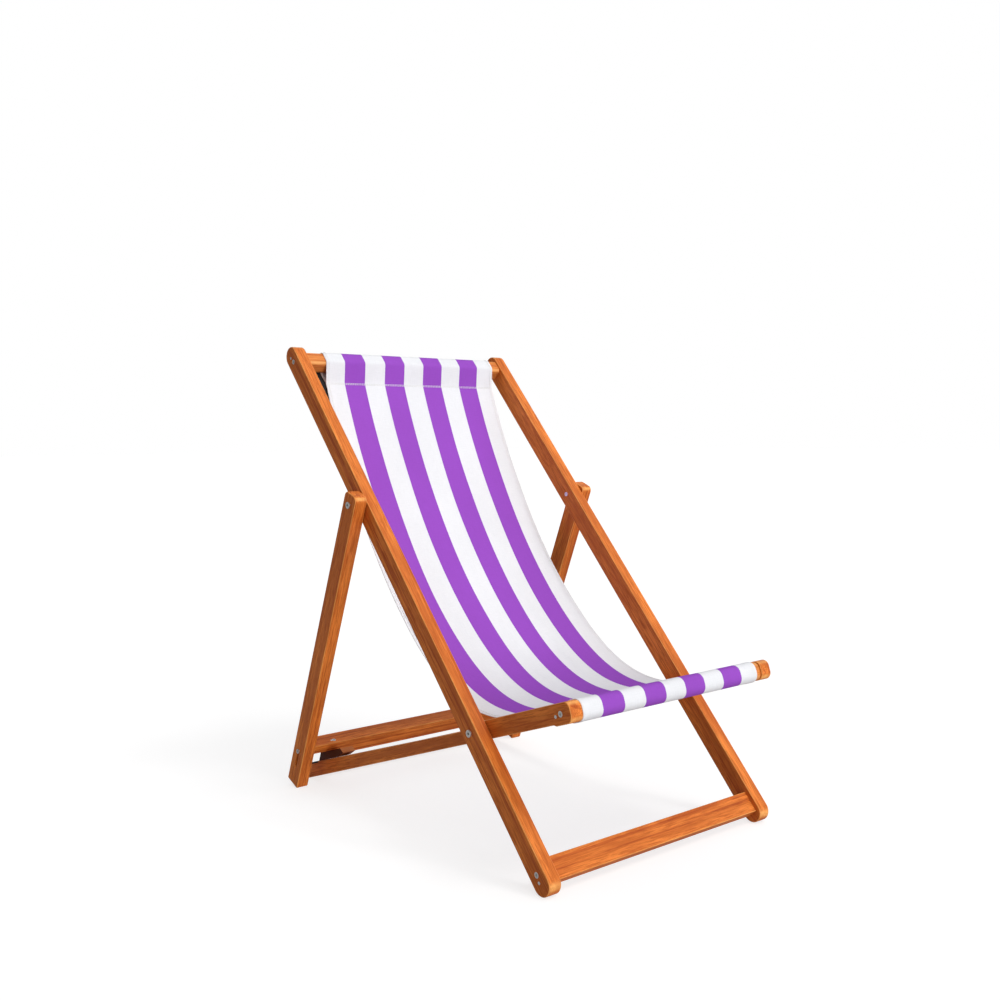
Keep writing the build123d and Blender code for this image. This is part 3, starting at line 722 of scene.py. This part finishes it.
def make_stitch_tree(thread):
    """Geometry nodes that set a stitch on every pitch of the lines they are given."""
    tree = bpy.data.node_groups.new("stitch_rows", "GeometryNodeTree")
    made = {}
    wanted = {"Lines": "Geometry", "Stitch Length": "Float", "Pitch": "Float", "Radius": "Float"}
    for name, kind in wanted.items():
        made[name] = tree.interface.new_socket(name, in_out="INPUT", socket_type="NodeSocket" + kind)
    tree.interface.new_socket("Stitches", in_out="OUTPUT", socket_type="NodeSocketGeometry")
    given = tree.nodes.new("NodeGroupInput").outputs
    result = tree.nodes.new("NodeGroupOutput").inputs
    curve = add(tree, "GeometryNodeMeshToCurve", {"Mesh": given["Lines"]}).outputs[0]
    spacing = {"Curve": curve, "Length": given["Pitch"]}
    spaced = add(tree, "GeometryNodeResampleCurve", spacing, mode="LENGTH").outputs[0]
    half_long = sum_up(tree, "MULTIPLY", given["Stitch Length"], 0.5)
    size = add(
        tree, "ShaderNodeCombineXYZ", {0: given["Radius"], 1: given["Radius"], 2: half_long}
    ).outputs[0]
    ball = add(tree, "GeometryNodeMeshUVSphere", {"Segments": 6, "Rings": 5, "Radius": 1.0}).outputs["Mesh"]
    stitch = add(tree, "GeometryNodeTransform", {"Geometry": ball, "Scale": size}).outputs[0]
    heading = add(tree, "GeometryNodeInputTangent").outputs[0]
    turn = add(tree, "FunctionNodeAlignRotationToVector", {"Vector": heading}, axis="Z").outputs[0]
    rows = add(
        tree, "GeometryNodeInstanceOnPoints", {"Points": spaced, "Instance": stitch, "Rotation": turn}
    ).outputs[0]
    real = add(tree, "GeometryNodeRealizeInstances", {"Geometry": rows}).outputs[0]
    smooth = add(tree, "GeometryNodeSetShadeSmooth", {"Geometry": real}).outputs[0]
    done = add(tree, "GeometryNodeSetMaterial", {"Geometry": smooth, "Material": thread}).outputs[0]
    tree.links.new(done, result[0])
    return tree, {name: socket.identifier for name, socket in made.items()}


def sew(name, rows, thread):
    """One mesh of stitches along rows of points."""
    points, edges = [], []
    for row in rows:
        first = len(points)
        points += [tuple(point) for point in row]
        edges += [(k, k + 1) for k in range(first, len(points) - 1)]
    lines = bpy.data.meshes.new(name + "_lines")
    lines.from_pydata(points, edges, [])
    guide = bpy.data.objects.new(name + "_lines", lines)
    bpy.context.scene.collection.objects.link(guide)
    tree, sockets = make_stitch_tree(thread)
    modifier = guide.modifiers.new("stitches", "NODES")
    modifier.node_group = tree
    modifier[sockets["Stitch Length"]] = stitch_length
    modifier[sockets["Pitch"]] = stitch_pitch
    modifier[sockets["Radius"]] = thread_radius
    sewn = bpy.data.meshes.new_from_object(guide.evaluated_get(bpy.context.evaluated_depsgraph_get()))
    sewn.name = name
    bpy.data.objects.remove(guide)
    made = bpy.data.objects.new(name, sewn)
    bpy.context.scene.collection.objects.link(made)
    return made


def row_across(point, left, right):
    """A row of stitches across the sling at one point of the side plane."""
    places = np.linspace(left + stitch_row_inset, right - stitch_row_inset, stitch_row_points)
    return [(x, *point) for x in places]


def make_sling():
    """The canvas sling with its sleeves, hems and stitching."""
    low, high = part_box("sling")
    columns = sling_columns(low.x, high.x)
    line, starts = sling_line()
    run = line_length(line)
    drift = sling_drift(run, columns, starts)
    half = sling_half_thickness(columns)
    sling = cloth_strip("sling_canvas", line, columns, half, sling_ripple(run, columns, starts), drift)
    sling.data.materials.append(make_canvas(high.x - low.x))

    left, right = columns[0] + drift[:, 0], columns[-1] + drift[:, -1]
    normals = face_normals(line)
    outer = line + normals * (cloth_half + thread_stand)
    rows = []
    # Twin rows hold the top hem, in front and behind, and one row holds the front seam, above and below
    hem_row, seam_row = run[starts["belly"]], run[starts["front_sleeve"]]
    behind_hem, under_seam = run[starts["rear_layer"]], run[starts["front_hem"]]
    below_hem = hem_row + hem_stitch_drop
    behind_hem -= rear_stitch_drop
    seam_stand_off = seam_stitch_share * front_hem_allowance
    sewn = [below_hem, below_hem + stitch_row_gap, behind_hem, behind_hem - stitch_row_gap]
    sewn += [seam_row - seam_stand_off, under_seam + seam_stand_off]
    for where in sewn:
        ends = [np.interp(where, run, edge) for edge in (left, right)]
        rows.append(row_across(at_run(outer, run, where), *ends))
    # Side hems: a row near each edge on both faces
    side_stand = cloth_half + side_hem_extra + thread_stand
    visible = slice(starts["top_sleeve"], starts["front_sleeve"])
    for edge in (left + side_stitch_inset, right - side_stitch_inset):
        for sign in (1, -1):
            edge_line = line + normals * sign * side_stand
            rows.append([(x, *point) for x, point in zip(edge[visible], edge_line[visible])])
    stitching = sew("sling_stitching", rows, make_thread("white_thread", *white_thread))
    flat_size = (high.x - low.x, run[-1])
    return sling, stitching, flat_size, line, normals, starts


def make_hang_loop(line, normals, starts):
    """A folded webbing strap sewn behind the sling's upper left corner."""
    low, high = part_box("hang_loop")
    columns = np.linspace(low.x, high.x + strap_tuck, strap_columns)
    stand = cloth_half + side_hem_extra + strap_clearance + strap_half
    layer = (line + normals * stand)[: starts["top_sleeve"] + strap_rows_on_bar][::-1]
    heading = layer[-1] - layer[-2]
    heading /= np.hypot(*heading)
    layer = np.concatenate((layer, [layer[-1] + heading * strap_below_hem]))
    layer = fill_in(layer, strap_step)
    # The strap turns at its lower end and comes back up behind itself
    rearward = -face_normals(layer)
    turn_radius = strap_half + strap_layer_gap / 2
    middle = layer[-1] + rearward[-1] * turn_radius
    fold = []
    for angle in np.linspace(0, pi, strap_fold_points)[1:-1]:
        reach = heading * turn_radius * sin(angle)
        fold.append(middle - rearward[-1] * turn_radius * cos(angle) + reach)
    second = (layer + rearward * 2 * turn_radius)[::-1]
    half = np.full(strap_columns, strap_half)
    strap = cloth_strip("hang_loop_strap", np.concatenate((layer, fold, second)), columns, half)
    strap.data.materials.append(make_webbing())
    outer = layer + rearward * (2 * turn_radius + strap_half + thread_stand)
    rows = [[(x, *outer[k]) for x in columns[1:-1]] for k in (strap_stitch_row, len(outer) // 2)]
    stitching = sew("hang_loop_stitching", rows, make_thread("black_thread", *black_thread))
    return strap, stitching


# Studio

def make_floor():
    mesh = bpy.data.meshes.new("studio_floor")
    signs = ((-1, -1), (1, -1), (1, 1), (-1, 1))
    corners = [(x * floor_reach, y * floor_reach, -floor_drop) for x, y in signs]
    mesh.from_pydata(corners, [], [(0, 1, 2, 3)])
    floor = bpy.data.objects.new("studio_floor", mesh)
    bpy.context.scene.collection.objects.link(floor)
    made, tree, shader = new_material(
        "pale_floor",
        Base_Color=(floor_grey, floor_grey, floor_grey, 1),
        Roughness=0.9,
        Specular_IOR_Level=0.0,
        Emission_Color=(1, 1, 1, 1),
    )
    # The floor looks white, but throws less light up at the chair
    camera_ray = add(tree, "ShaderNodeLightPath").outputs["Is Camera Ray"]
    glow = ramp(tree, camera_ray, 0.0, 1.0, floor_glow_on_chair, floor_glow_seen)
    tree.links.new(glow, shader.inputs["Emission Strength"])
    mesh.materials.append(made)


def make_sun(name, towards, strength, softness):
    data = bpy.data.lights.new(name, "SUN")
    data.energy = strength
    data.angle = radians(softness)
    lamp = bpy.data.objects.new(name, data)
    lamp.rotation_mode = "QUATERNION"
    lamp.rotation_quaternion = Vector(towards).to_track_quat("Z", "Y")
    bpy.context.scene.collection.objects.link(lamp)


def make_light():
    """White surroundings that are darker on the chair's left, with a soft key and a front fill."""
    world = bpy.data.worlds.new("studio")
    world.use_nodes = True
    tree = world.node_tree
    tree.nodes.clear()
    heading = add(tree, "ShaderNodeTexCoord").outputs["Generated"]
    open_side = add(
        tree, "ShaderNodeVectorMath", {0: heading, 1: bright_side}, operation="DOT_PRODUCT"
    ).outputs["Value"]
    glow = ramp(tree, open_side, *glow_rise, *glow_range)
    white = (1, 1, 1, 1)
    lit = add(tree, "ShaderNodeBackground", {"Color": white, "Strength": glow}).outputs[0]
    seen = add(tree, "ShaderNodeBackground", {"Color": white, "Strength": 1.0}).outputs[0]
    camera_ray = add(tree, "ShaderNodeLightPath").outputs["Is Camera Ray"]
    both = add(tree, "ShaderNodeMixShader", {0: camera_ray, 1: lit, 2: seen}).outputs[0]
    add(tree, "ShaderNodeOutputWorld", {"Surface": both})
    bpy.context.scene.world = world
    for name, (towards, strength, softness) in sun_lamps.items():
        make_sun(name, towards, strength, softness)


def make_camera():
    """A camera at the photograph's angle, with its picture shifted to the photograph's centre."""
    data = bpy.data.cameras.new("camera")
    data.sensor_width = sensor_width
    data.lens = focal_pixels / image_side * sensor_width
    data.shift_x = (image_side / 2 - lens_centre[0]) / image_side
    data.shift_y = (lens_centre[1] - image_side / 2) / image_side
    back = Vector((
        sin(camera_azimuth) * cos(camera_elevation),
        -cos(camera_azimuth) * cos(camera_elevation),
        sin(camera_elevation),
    ))
    level = Vector((cos(camera_azimuth), sin(camera_azimuth), 0))
    upright = back.cross(level)
    right = level * cos(camera_roll) + upright * sin(camera_roll)
    up = back.cross(right)
    turn = Matrix((right, up, back)).transposed()
    camera = bpy.data.objects.new("camera", data)
    camera.matrix_world = Matrix.Translation(camera_place) @ turn.to_4x4()
    bpy.context.scene.collection.objects.link(camera)
    bpy.context.scene.camera = camera
    bpy.context.scene.view_settings.view_transform = "Standard"


dress_frame()
sling, stitching, flat_size, line, normals, starts = make_sling()
strap, strap_stitching = make_hang_loop(line, normals, starts)
make_floor()
make_light()
make_camera()

# The sling and its stitching keep their world places; the strap and its stitching go with the back frame
for piece in (sling, stitching):
    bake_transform(piece)
for piece in (strap, strap_stitching):
    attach(piece, "back_frame")
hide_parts("sling")
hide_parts("hang_loop")
